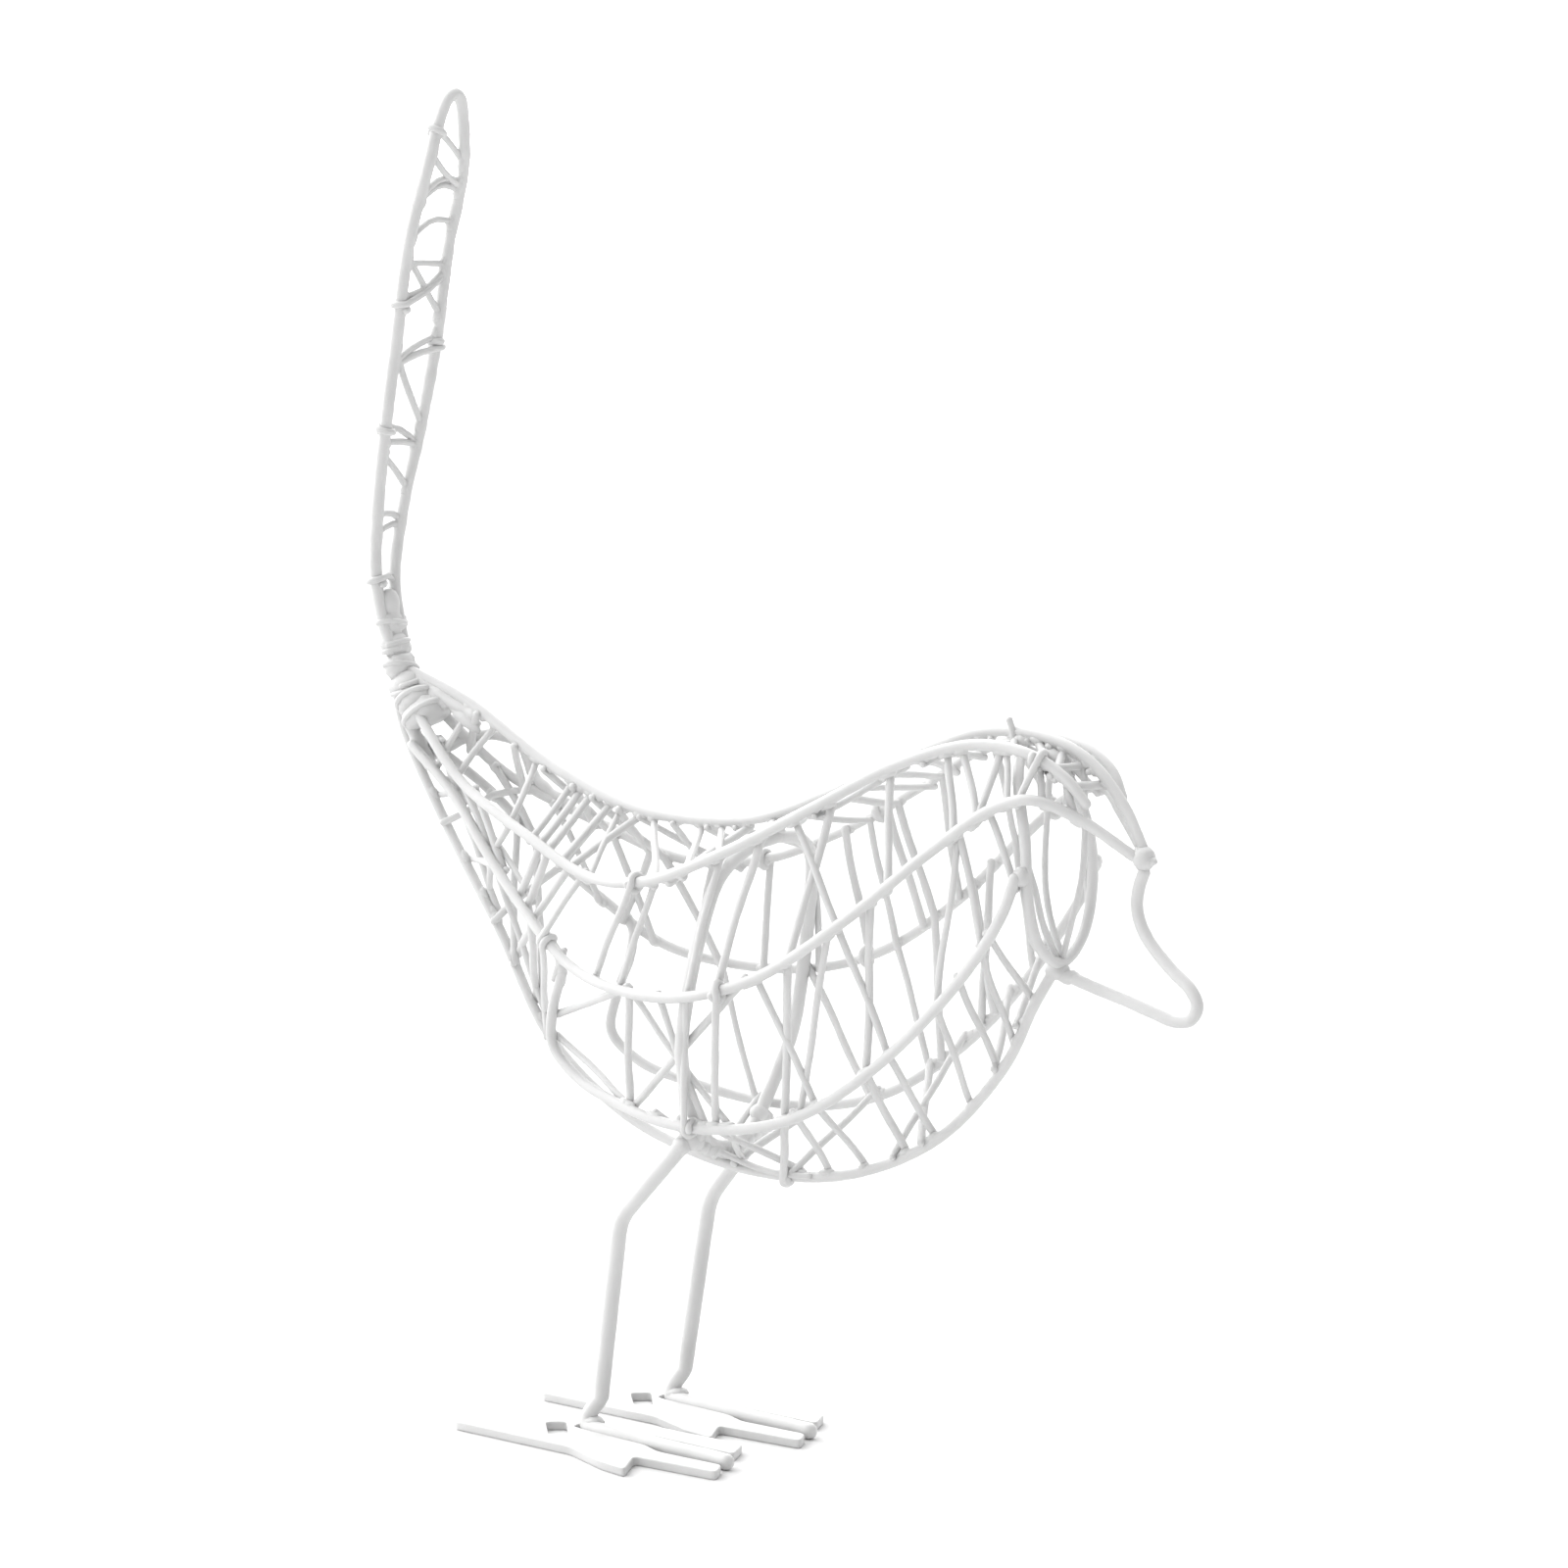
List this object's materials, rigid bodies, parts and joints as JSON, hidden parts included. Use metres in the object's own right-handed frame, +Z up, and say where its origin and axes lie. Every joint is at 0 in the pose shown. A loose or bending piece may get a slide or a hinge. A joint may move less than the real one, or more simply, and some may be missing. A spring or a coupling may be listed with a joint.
{
  "type": "wire bird figurine",
  "caption": "Standing bird bent and laced from white painted steel wire, with an open cage body, a long upright tail, an open beak and two rod legs on flat feet.",
  "frame": {"origin": "centre of the bounding box, at the floor that the feet stand on", "axes": "+X is the way the bird looks, +Z is up, its right side is at -Y"},
  "size_m": [0.237, 0.0682, 0.3168],
  "materials": {
    "white_paint": "satin white paint over steel wire"
  },
  "bodies": {
    "root": {"back_rod": "white_paint", "belly_rod": "white_paint", "beak_loop": "white_paint", "face_hoop": "white_paint", "hip_hoop": "white_paint", "tail_loop": "white_paint", "tail_binding": "white_paint", "tail_lacing_front": "white_paint", "tail_lacing_back": "white_paint", "shoulder_rod_right": "white_paint", "flank_rod_right": "white_paint", "lower_rod_right": "white_paint", "lacing_upper_right": "white_paint", "lacing_middle_right": "white_paint", "lacing_lower_right": "white_paint", "lacing_breast_right": "white_paint", "lacing_vent_right": "white_paint", "lacing_rump_right": "white_paint", "leg_right": "white_paint", "foot_right": "white_paint", "shoulder_rod_left": "white_paint", "flank_rod_left": "white_paint", "lower_rod_left": "white_paint", "lacing_upper_left": "white_paint", "lacing_middle_left": "white_paint", "lacing_lower_left": "white_paint", "lacing_breast_left": "white_paint", "lacing_vent_left": "white_paint", "lacing_rump_left": "white_paint", "leg_left": "white_paint", "foot_left": "white_paint"}
  },
  "joints": []
}
